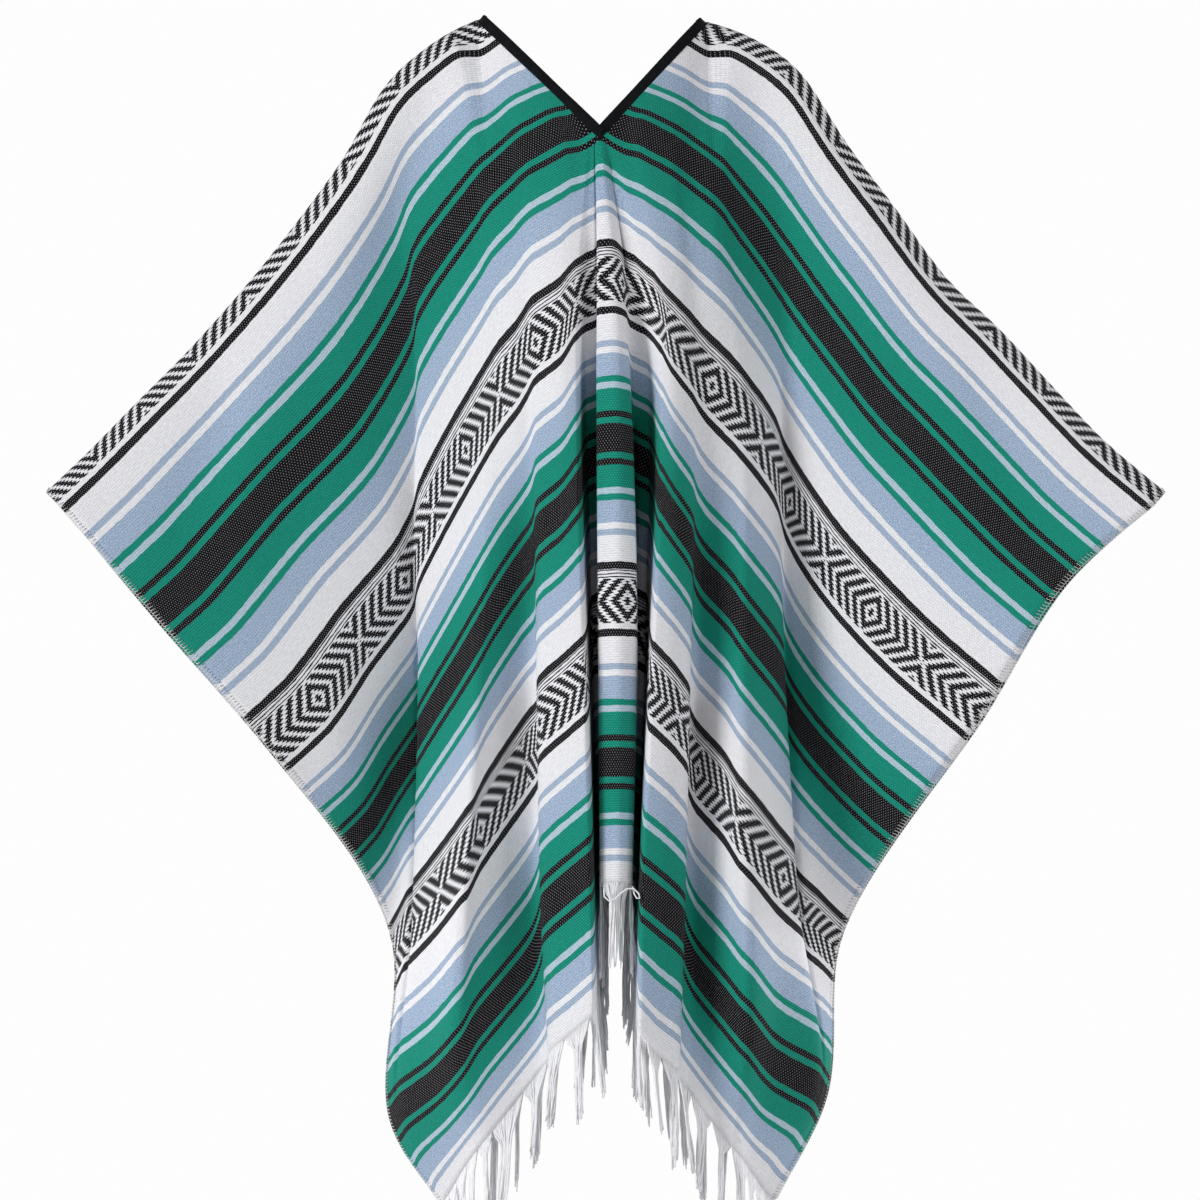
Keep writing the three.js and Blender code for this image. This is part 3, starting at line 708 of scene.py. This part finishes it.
def charted_lines(tree, out, in_repeat):
    """Where the patterned band is black. The distance along the band plus the distance across it
    makes nested diamonds, the rows of yarn notch their edges like saw teeth, and fine lines run
    beside them. The teeth are drawn a little coarser than the real rows so that they show."""
    band = DIAMOND_BAND
    rings = DIAMOND_RINGS
    centre = (band["low"] + band["high"]) / 2
    across = add(tree, MATH, (in_repeat, centre), operation="SUBTRACT")
    from_first = add(tree, MATH, (out, band["first"]), operation="SUBTRACT")
    along = add(tree, MATH, (from_first, band["repeat"] / 2), operation="PINGPONG")
    away = add(tree, MATH, (across,), operation="ABSOLUTE")
    tooth = add(tree, MATH, (across, rings["tooth"] / 2), operation="PINGPONG")
    notched = add(tree, MATH, (tooth, rings["tooth_slant"], along), operation="MULTIPLY_ADD")
    ring = add(tree, MATH, (notched, away), operation="ADD")
    shifted = add(tree, MATH, (ring, rings["first"]), operation="SUBTRACT")
    in_ring = add(tree, MATH, (shifted, rings["pitch"] / 2), operation="PINGPONG")
    black = add(tree, MATH, (in_ring, rings["black"]), operation="LESS_THAN")
    in_band = within(tree, in_repeat, band["low"], band["high"])
    diamonds = add(tree, MATH, (black, in_band), operation="MULTIPLY")

    lines = FINE_LINES
    from_line = add(tree, MATH, (in_repeat, lines["first"]), operation="SUBTRACT")
    in_line = add(tree, MATH, (from_line, lines["pitch"] / 2), operation="PINGPONG")
    thin = add(tree, MATH, (in_line, lines["black"]), operation="LESS_THAN")
    beside = within(tree, in_repeat, lines["low"], lines["high"])
    fine = add(tree, MATH, (thin, beside), operation="MULTIPLY")
    return add(tree, MATH, (diamonds, fine), operation="MAXIMUM")


def woven_yarns(tree, out, drop):
    """The weave: how round each weft row and each warp yarn stands, and where the light warp
    shows between them as a fleck. Every other row is set over by half a yarn."""
    row = add(tree, MATH, (drop, 1 / WEAVE["row"]), operation="MULTIPLY")
    row_round = add(tree, MATH, (row, 0.5), operation="PINGPONG")
    row_start = add(tree, MATH, (row,), operation="FLOOR")
    set_over = add(tree, MATH, (row_start, 0.5), operation="MULTIPLY")
    yarn = add(tree, MATH, (out, 1 / WEAVE["yarn"], set_over), operation="MULTIPLY_ADD")
    yarn_round = add(tree, MATH, (yarn, 0.5), operation="PINGPONG")
    low_yarn = add(tree, MATH, (yarn_round, WEAVE["fleck_width"]), operation="LESS_THAN")
    high_row = add(tree, MATH, (row_round, WEAVE["fleck_gap"]), operation="GREATER_THAN")
    return row_round, yarn_round, add(tree, MATH, (low_yarn, high_row), operation="MULTIPLY")


def blanket_material(cloth):
    """Woven acrylic blanket cloth: a matt, slightly hairy face. Stripes run across as the weft
    changes colour, the light warp shows as flecks between dark yarns, the blues are spun with
    white fibre, the yarns' own unevenness mottles each colour, and painted shade darkens each
    yarn towards the gaps between the yarns."""
    material, tree, shader = new_material("woven acrylic blanket cloth, striped", {
        "Roughness": 0.92, "Specular IOR Level": 0.06, "Sheen Weight": 0.02,
        "Sheen Roughness": 0.6,
    })
    out, drop = cut_place(tree)

    # Weft yarns are never quite straight: a stripe's edge strays within a band of 1.8 mm
    stray = noise(tree, out, drop, 11, 3, 2.0)
    weft = add(tree, MATH, (stray, 1.8, drop), operation="MULTIPLY_ADD")
    half = STRIPE_REPEAT / 2
    in_repeat = add(tree, MATH, (weft, half, -half), operation="WRAP")
    stripe, heather = stripe_colours(tree, cloth, in_repeat)
    charted = charted_lines(tree, out, in_repeat)
    yarn = add(tree, MIX, {0: charted, 6: stripe, 7: list(cloth.black)}, out=2, data_type="RGBA")

    # White fibre, most in the blue yarns, as specks one to two millimetres wide
    speck = add(tree, RANGE, (noise(tree, out, drop, 1.5, 1.2, 2.0), 0.4, 0.62, 0, 1))
    uncharted = add(tree, MATH, (1.0, charted), operation="SUBTRACT")
    spun = add(tree, MATH, (speck, heather), operation="MULTIPLY")
    spun_here = add(tree, MATH, (spun, uncharted), operation="MULTIPLY")
    heathered = add(tree, MIX, {0: spun_here, 6: yarn, 7: list(cloth.white)}, out=2,
                    data_type="RGBA")

    # The white warp shows most between black yarns, less between green ones, and not on white
    row_round, yarn_round, fleck = woven_yarns(tree, out, drop)
    lightness = add(tree, "ShaderNodeRGBToBW", (yarn,))
    darkness = add(tree, MATH, (1.0, lightness), operation="SUBTRACT")
    seen = add(tree, MATH, (darkness, 6.0), operation="POWER")
    fleck_share = add(tree, MATH, (seen, WEAVE["fleck_share"]), operation="MULTIPLY")
    fleck_here = add(tree, MATH, (fleck, fleck_share), operation="MULTIPLY")
    flecked = add(tree, MIX, {0: fleck_here, 6: heathered, 7: list(cloth.white)}, out=2,
                  data_type="RGBA")

    # Streaks along the weft, and painted shade: each yarn is painted darker towards the gaps between
    # the yarns, where shade falls
    streak = add(tree, RANGE, (noise(tree, out, drop, 6, 1.6, 4.0), 0.3, 0.7, 0.9, 1.1))
    row_painted_shade = add(tree, MATH, (row_round, 0.4, 0.78), operation="MULTIPLY_ADD")
    yarn_painted_shade = add(tree, MATH, (yarn_round, 0.26, row_painted_shade), operation="MULTIPLY_ADD")
    # The weft streaks times the painted shade between the yarns
    shade = add(tree, MATH, (streak, yarn_painted_shade), operation="MULTIPLY")
    tree.links.new(shaded(tree, flecked, shade), shader.inputs["Base Color"])

    # The yarns stand up by about a third of a millimetre, and the flecks lie lower
    standing = add(tree, MATH, (yarn_round, 0.6, row_round), operation="MULTIPLY_ADD")
    height = add(tree, MATH, (fleck, -0.4, standing), operation="MULTIPLY_ADD")
    nap = add(tree, "ShaderNodeBump", {"Strength": 0.6, "Distance": 0.35 * MM, "Height": height})
    tree.links.new(nap, shader.inputs["Normal"])
    return material


def tape_material(trim):
    """Woven cotton tape, dyed black: fine ribs across it and a soft matt face."""
    material, tree, shader = new_material("woven cotton tape, dyed black", {
        "Roughness": 0.85, "Specular IOR Level": 0.1, "Sheen Weight": 0.02,
    })
    out, drop = cut_place(tree)
    rib = add(tree, MATH, (out, 1 / 1.4), operation="MULTIPLY")
    ribbed = add(tree, MATH, (rib, 0.5), operation="PINGPONG")
    worn = add(tree, RANGE, (noise(tree, out, drop, 4, 4, 4.0), 0.3, 0.7, 0.7, 1.5))
    tree.links.new(shaded(tree, list(trim.tape), worn), shader.inputs["Base Color"])
    ribs = add(tree, "ShaderNodeBump", {"Strength": 0.5, "Distance": 0.3 * MM, "Height": ribbed})
    tree.links.new(ribs, shader.inputs["Normal"])
    return material


def yarn_material(name, colour, grain):
    """Spun yarn: fibres of so many millimetres that twist along it, a little uneven in tone."""
    material, tree, shader = new_material(name, {
        "Roughness": 0.88, "Specular IOR Level": 0.15, "Sheen Weight": 0.08,
    })
    here = add(tree, "ShaderNodeTexCoord", out="Object")
    scale = 1 / (grain * MM)
    drawn = add(tree, "ShaderNodeMapping", {"Vector": here, "Scale": (scale, scale, scale / 6)})
    fibre = add(tree, "ShaderNodeTexNoise", {"Vector": drawn, "Scale": 1.0, "Detail": 5.0})
    tone = add(tree, RANGE, (fibre, 0.3, 0.7, 0.84, 1.06))
    tree.links.new(shaded(tree, list(colour), tone), shader.inputs["Base Color"])
    fuzz = add(tree, "ShaderNodeBump", {"Strength": 0.5, "Distance": 0.3 * MM, "Height": fibre})
    tree.links.new(fuzz, shader.inputs["Normal"])
    return material


def thread_piece(name, paths, radius, material):
    """Threads as one mesh: each path is a list of points with the share of the full radius."""
    curve = bpy.data.curves.new(name + " paths", "CURVE")
    curve.dimensions = "3D"
    curve.bevel_depth = radius
    curve.bevel_resolution = 0
    curve.use_fill_caps = True
    for path in paths:
        spline = curve.splines.new("POLY")
        spline.points.add(len(path) - 1)
        for point, (place, share) in zip(spline.points, path):
            point.co = (*place, 1)
            point.radius = share
    drawn = bpy.data.objects.new(name + " paths", curve)
    bpy.context.scene.collection.objects.link(drawn)
    bpy.context.view_layer.update()
    mesh = bmesh.new()
    mesh.from_mesh(bpy.data.meshes.new_from_object(drawn))
    bpy.data.objects.remove(drawn)
    bmesh.ops.remove_doubles(mesh, verts=mesh.verts, dist=0.01 * MM)
    bmesh.ops.recalc_face_normals(mesh, faces=mesh.faces)
    return finished_object(mesh, name, material)


@lru_cache(maxsize=None)
def cloth_edges(rows):
    """The hems and the side edges of the finished cloth: points and outward normals."""
    edges = {}
    for layer in ("front", "back"):
        made = cloth_rows(layer, rows)
        places = [[Vector(point[:3]) * MM for point in row] for row in made]
        facing = -1 if layer == "front" else 1
        last = len(places) - 1
        wide = len(places[0]) - 1

        def normal_at(row, column):
            down = places[min(row + 1, last)][column] - places[max(row - 1, 0)][column]
            over = places[row][min(column + 1, wide)] - places[row][max(column - 1, 0)]
            return (over.cross(down) * -facing).normalized()

        edges["hem", layer] = [(places[last][k], normal_at(last, k)) for k in range(wide + 1)]
        edges["neck", layer] = [
            (places[0][k], normal_at(0, k)) for k, point in enumerate(made[0])
            if abs(point[3]) <= SLIT_HALF_WIDTH + 0.01
        ]
        edges["left", layer] = [(places[row][0], normal_at(row, 0)) for row in range(last + 1)]
        edges["right", layer] = [(places[row][wide], normal_at(row, wide)) for row in range(last + 1)]
    return edges


def spaced(line, pitch, start, stop=0.0):
    """Points at an even pitch along a line of (point, normal), with the way along it. They begin
    at the start, a distance along the line, and end as far short of its end as stop says."""
    lengths = [0.0]
    for (a, _), (b, _) in zip(line, line[1:]):
        lengths.append(lengths[-1] + (b - a).length)
    made = []
    place = start
    while place < lengths[-1] - stop:
        k = min(max(bisect(lengths, place) - 1, 0), len(line) - 2)
        share = (place - lengths[k]) / max(lengths[k + 1] - lengths[k], 1e-9)
        point = line[k][0].lerp(line[k + 1][0], share)
        normal = line[k][1].lerp(line[k + 1][1], share).normalized()
        made.append((point, normal, (line[k + 1][0] - line[k][0]).normalized()))
        place += pitch
    return made


class PONCHO_OT_stage(bpy.types.Operator):
    """Lay the pale floor, set the soft studio light and place the camera"""

    bl_idname = "poncho.stage"
    bl_label = "Stage"

    def execute(self, context):
        stage = context.scene.poncho_stage
        mesh = bmesh.new()
        bmesh.ops.create_circle(mesh, cap_ends=True, segments=96, radius=stage.floor_radius)
        bmesh.ops.translate(mesh, verts=mesh.verts, vec=(0, 0, stage.floor))
        material, _, _ = new_material("matt studio paper, white", {
            "Base Color": linear_colour("#EDEDEE"), "Roughness": 0.95,
        })
        finished_object(mesh, "studio_floor", material)

        world = bpy.data.worlds.new("white studio")
        world.use_nodes = True
        sky = world.node_tree.nodes["Background"]
        sky.inputs["Color"].default_value = linear_colour("#FFFFFF")
        # The backdrop is seen at its full white, and lights the cloth more weakly
        seen = add(world.node_tree, "ShaderNodeLightPath", out="Is Camera Ray")
        strength = add(world.node_tree, RANGE, (seen, 0, 1, stage.surround, stage.backdrop))
        world.node_tree.links.new(strength, sky.inputs["Strength"])
        context.scene.world = world
        for name, place, size, power in LAMPS:
            light = bpy.data.lights.new(name, "AREA")
            light.size = size
            light.energy = getattr(stage, power)
            lamp = bpy.data.objects.new(name, light)
            lamp.location = place
            aim = Vector(LAMP_AIM) - Vector(place)
            lamp.rotation_euler = aim.to_track_quat("-Z", "Y").to_euler()
            context.scene.collection.objects.link(lamp)

        lens = bpy.data.cameras.new("long_lens")
        lens.sensor_width = 36
        to_cloth = stage.distance - CAMERA["front_of_cloth"] * MM
        lens.lens = lens.sensor_width * to_cloth / stage.view
        lens.clip_end = 100
        camera = bpy.data.objects.new("long_lens", lens)
        camera.location = (CAMERA["x"] * MM, -stage.distance, CAMERA["z"] * MM)
        camera.rotation_euler = (math.pi / 2, 0, 0)
        context.scene.collection.objects.link(camera)
        context.scene.camera = camera
        context.scene.view_settings.view_transform = "Standard"
        return {"FINISHED"}


class PONCHO_OT_cloth(bpy.types.Operator):
    """Make the woven cloth, front and back in one length, as it hangs in its folds"""

    bl_idname = "poncho.cloth"
    bl_label = "Woven cloth"

    def execute(self, context):
        cloth = context.scene.poncho_cloth
        columns = len(column_folds()) - 1
        whole = bmesh.new()
        for layer in ("front", "back"):
            made = cloth_rows(layer, cloth.rows)
            mesh, places = grid_mesh(columns, cloth.rows)
            out = mesh.verts.layers.float["out"]
            drop = mesh.verts.layers.float["drop"]
            for vert, (column, row) in places.items():
                point = made[row][column]
                vert.co = Vector(point[:3]) * MM
                vert[out] = point[3] * MM
                vert[drop] = point[4] * MM * (1 if layer == "front" else -1)
            if layer == "front":
                bmesh.ops.reverse_faces(mesh, faces=mesh.faces)
            sheet = bpy.data.meshes.new(layer + " layer")
            mesh.to_mesh(sheet)
            mesh.free()
            whole.from_mesh(sheet)
            bpy.data.meshes.remove(sheet)
        seam = 0.01 * MM
        bmesh.ops.remove_doubles(whole, verts=whole.verts, dist=seam)
        whole.normal_update()
        out = whole.verts.layers.float["out"]
        drop = whole.verts.layers.float["drop"]
        for vert in whole.verts:
            layer = "front" if vert[drop] >= 0 else "back"
            rise = crease_rise(vert.co, layer) * cloth.crease * abs(vert.normal.y)
            from_edge = (HALF_WIDTH * MM - abs(vert[out])) / (CREASE_FREE_EDGE * MM)
            vert.co += vert.normal * (rise * MM * min(1, from_edge))
        flat = whole.loops.layers.uv["cut"]
        for face in whole.faces:
            for loop in face.loops:
                loop[flat].uv = (loop.vert[out], loop.vert[drop])
        piece = finished_object(whole, "woven_cloth", blanket_material(cloth))
        wall = piece.modifiers.new("thickness", "SOLIDIFY")
        wall.thickness = cloth.thickness
        wall.offset = 0
        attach(piece, "root")
        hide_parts("cloth")
        return {"FINISHED"}


class PONCHO_OT_neck_binding(bpy.types.Operator):
    """Fold the black tape over the raw edge of the neck slit"""

    bl_idname = "poncho.neck_binding"
    bl_label = "Neck binding"

    def execute(self, context):
        trim = context.scene.poncho_trim
        edges = cloth_edges(context.scene.poncho_cloth.rows)
        front = edges["neck", "front"]
        back = edges["neck", "back"]
        loop = front + back[1:-1][::-1]
        count = len(loop)
        half = trim.binding_thickness / 2
        width = trim.binding_width
        inner = -TAPE["lap"] * MM
        full_from = inner + TAPE["inner_border"] * MM
        full_to = width - TAPE["outer_border"] * MM
        near_tip = width - TAPE["tip"] * MM
        # Across the tape: out from the edge, and up from the cloth's middle
        upper = [
            (inner, half * TAPE["inner"]), (full_from, half), (full_to, half),
            (near_tip, half * TAPE["outer"]),
        ]
        profile = upper + [(width, 0)] + [(out, -up) for out, up in reversed(upper)] + [(inner, 0)]
        centre = Vector((NECK_BOTTOM["x"] * MM, 0, 0))
        stations = []
        for number, (point, normal) in enumerate(loop):
            ways = []
            for a, b in ((loop[number - 1][0], point), (point, loop[(number + 1) % count][0])):
                way = (b - a).normalized().cross(normal).normalized()
                ways.append(-way if way.dot(centre - point) < 0 else way)
            way = (ways[0] + ways[1]).normalized()
            stations.append((point, normal, way / max(way.dot(ways[0]), MITRE_LIMIT)))
        mesh, places = grid_mesh(count, len(profile))
        flat = mesh.loops.layers.uv["cut"]
        for vert, (column, row) in places.items():
            point, normal, way = stations[column % count]
            out, up = profile[row % len(profile)]
            vert.co = point + way * out + normal * up
        for face in mesh.faces:
            for loop_corner in face.loops:
                column, row = places[loop_corner.vert]
                loop_corner[flat].uv = (
                    column * TAPE_GRAIN["along"] * MM, row * TAPE_GRAIN["across"] * MM,
                )
        bmesh.ops.remove_doubles(mesh, verts=mesh.verts, dist=0.001 * MM)
        bmesh.ops.recalc_face_normals(mesh, faces=mesh.faces)
        piece = finished_object(mesh, "neck_tape", tape_material(trim))
        round_off = piece.modifiers.new("soft edges", "SUBSURF")
        round_off.levels = 1
        round_off.render_levels = 1
        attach(piece, "root")
        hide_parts("neck_binding")
        return {"FINISHED"}


class PONCHO_OT_fringe(bpy.types.Operator):
    """Draw the locks of loose yarn out of the front and the back hem"""

    bl_idname = "poncho.fringe"
    bl_label = "Fringe"

    def lock(self, chance, roots, middle, normal, run, fringe):
        """The yarns of one lock: they leave the hem side by side, gather, and hang as one."""
        lean = Vector((normal.x, normal.y, 0)) * (LOCK["lean"] * MM)
        stray_x = chance.uniform(-LOCK["stray_x"], LOCK["stray_x"])
        stray_y = chance.uniform(-LOCK["stray_y"], LOCK["stray_y"])
        lean += Vector((stray_x, stray_y, 0)) * MM
        length = fringe.length * chance.uniform(*LOCK["length"])
        tight = chance.uniform(*LOCK["tight"])
        gather = chance.uniform(*LOCK["gather"])
        steps = LOCK["steps"]
        paths = []
        for root in roots:
            reach = (root - middle).dot(run)
            own_length = length * chance.uniform(*LOCK["own_length"])
            wave = chance.uniform(*LOCK["wave"]) * MM
            start = chance.uniform(0, math.tau)
            turns = chance.uniform(*LOCK["turns"])
            path = []
            for step in range(steps + 1):
                share = step / steps
                drawn_in = min(share / gather, 1)
                drawn_in = (3 - 2 * drawn_in) * drawn_in ** 2
                over = run * (reach * (tight - 1) * drawn_in)
                ripple = run * (math.sin(start + share * turns) * wave * share)
                deep = normal * (math.cos(start + share * turns) * wave * min(share * 3, 1))
                hidden = LOCK["hidden_root"] * MM * (1 - share)
                drop = Vector((0, 0, -own_length * share + hidden))
                place = root + over + deep + ripple + drop + lean * share ** 1.5
                path.append((place, 1.0 - LOCK["thinning"] * share ** 3))
            paths.append(path)
        return paths

    def execute(self, context):
        fringe = context.scene.poncho_fringe
        edges = cloth_edges(context.scene.poncho_cloth.rows)
        material = yarn_material("loose spun acrylic yarn, white", fringe.white, 1.1)
        for layer, seed in (("front", 4), ("back", 9)):
            chance = random.Random(seed)
            roots = spaced(edges["hem", layer], fringe.spacing, fringe.spacing / 2)
            paths = []
            first = 0
            while first < len(roots):
                count = chance.randint(fringe.fewest, fringe.most)
                if len(roots) - first - count < fringe.fewest:
                    count = len(roots) - first
                held = roots[first:first + count]
                point, normal, run = held[len(held) // 2]
                places = [root for root, _, _ in held]
                paths += self.lock(chance, places, point, normal, run, fringe)
                first += count
            if layer == "front":
                depth = edges["hem", layer][len(edges["hem", layer]) // 2][0].y
                paths.append([
                    (Vector((x * MM, depth + y * MM, z * MM)), 0.8) for x, y, z in LOOSE_LOOP
                ])
            piece = thread_piece(layer + "_fringe_yarns", paths, fringe.yarn, material)
            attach(piece, "root")
            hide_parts(layer + "_fringe")
        return {"FINISHED"}


class PONCHO_OT_sewing(bpy.types.Operator):
    """Overlock the side edges and stitch the hems"""

    bl_idname = "poncho.sewing"
    bl_label = "Sewing"

    def execute(self, context):
        trim = context.scene.poncho_trim
        cloth = context.scene.poncho_cloth
        edges = cloth_edges(cloth.rows)
        material = yarn_material("spun polyester sewing thread, undyed", trim.cotton, 0.7)
        radius = trim.thread
        half = cloth.thickness / 2 + radius * 0.8
        chance = random.Random(3)
        overlock = []
        for side in ("left", "right"):
            line = edges[side, "back"][::-1] + edges[side, "front"][1:]
            away = -1 if side == "left" else 1
            path = []
            end = OVERLOCK["end"] * MM
            for point, normal, run in spaced(line, trim.overlock_pitch, end, end):
                way = run.cross(normal).normalized()
                if way.x * away < 0:
                    way = -way
                reach = chance.uniform(*OVERLOCK["reach"]) * MM
                off = way * radius * OVERLOCK["off_edge"]
                step = run * (trim.overlock_pitch / 4)
                path.append((point - way * reach + normal * half, 1.0))
                path.append((point + off + normal * half * 0.7 + step, 1.0))
                path.append((point + off - normal * half * 0.7 + step * 2, 1.0))
                path.append((point - way * reach - normal * half + step * 3, 1.0))
                path.append((point + way * radius * OVERLOCK["knot"] + step * 3.6, 0.9))
            overlock.append(path)
        piece = thread_piece("overlock_stitches", overlock, radius, material)
        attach(piece, "root")

        stitches = []
        pitch = HEM_STITCH["pitch"] * MM
        end = HEM_STITCH["end"] * MM
        for layer in ("front", "back"):
            for inset in HEM_STITCH["rows"]:
                for point, normal, run in spaced(edges["hem", layer], pitch, end, end):
                    way = run.cross(normal).normalized()
                    if way.z > 0:
                        way = -way
                    face = point - way * inset * MM + normal * (cloth.thickness / 2)
                    low = face - normal * HEM_STITCH["dip"] * MM
                    high = face + normal * HEM_STITCH["stand"] * MM
                    stitches.append([
                        (low, 0.8),
                        (high + run * HEM_STITCH["rises"] * MM, 1.0),
                        (high + run * HEM_STITCH["sinks"] * MM, 1.0),
                        (low + run * HEM_STITCH["length"] * MM, 0.8),
                    ])
        piece = thread_piece("hem_stitches", stitches, radius, material)
        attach(piece, "root")
        return {"FINISHED"}


class PONCHO_PT_panel(bpy.types.Panel):
    """The steps that make the poncho, in order"""

    bl_label = "Poncho"
    bl_idname = "PONCHO_PT_panel"
    bl_space_type = "VIEW_3D"
    bl_region_type = "UI"
    bl_category = "Poncho"

    def draw(self, context):
        for operator in OPERATORS:
            self.layout.operator(operator.bl_idname)
        for name in GROUPS:
            box = self.layout.box()
            settings = getattr(context.scene, name)
            for key in settings.bl_rna.properties.keys():
                if key not in ("rna_type", "name"):
                    box.prop(settings, key)


OPERATORS = (
    PONCHO_OT_stage,
    PONCHO_OT_cloth,
    PONCHO_OT_neck_binding,
    PONCHO_OT_fringe,
    PONCHO_OT_sewing,
)
GROUPS = {
    "poncho_cloth": PonchoCloth,
    "poncho_trim": PonchoTrim,
    "poncho_fringe": PonchoFringe,
    "poncho_stage": PonchoStage,
}


def register():
    for kind in (*GROUPS.values(), *OPERATORS, PONCHO_PT_panel):
        bpy.utils.register_class(kind)
    for name, kind in GROUPS.items():
        setattr(bpy.types.Scene, name, PointerProperty(type=kind))


def unregister():
    for name in GROUPS:
        delattr(bpy.types.Scene, name)
    for kind in reversed((*GROUPS.values(), *OPERATORS, PONCHO_PT_panel)):
        bpy.utils.unregister_class(kind)


def main():
    register()
    bpy.ops.poncho.stage()
    bpy.ops.poncho.cloth()
    bpy.ops.poncho.neck_binding()
    bpy.ops.poncho.fringe()
    bpy.ops.poncho.sewing()


if __name__ == "__main__":
    main()
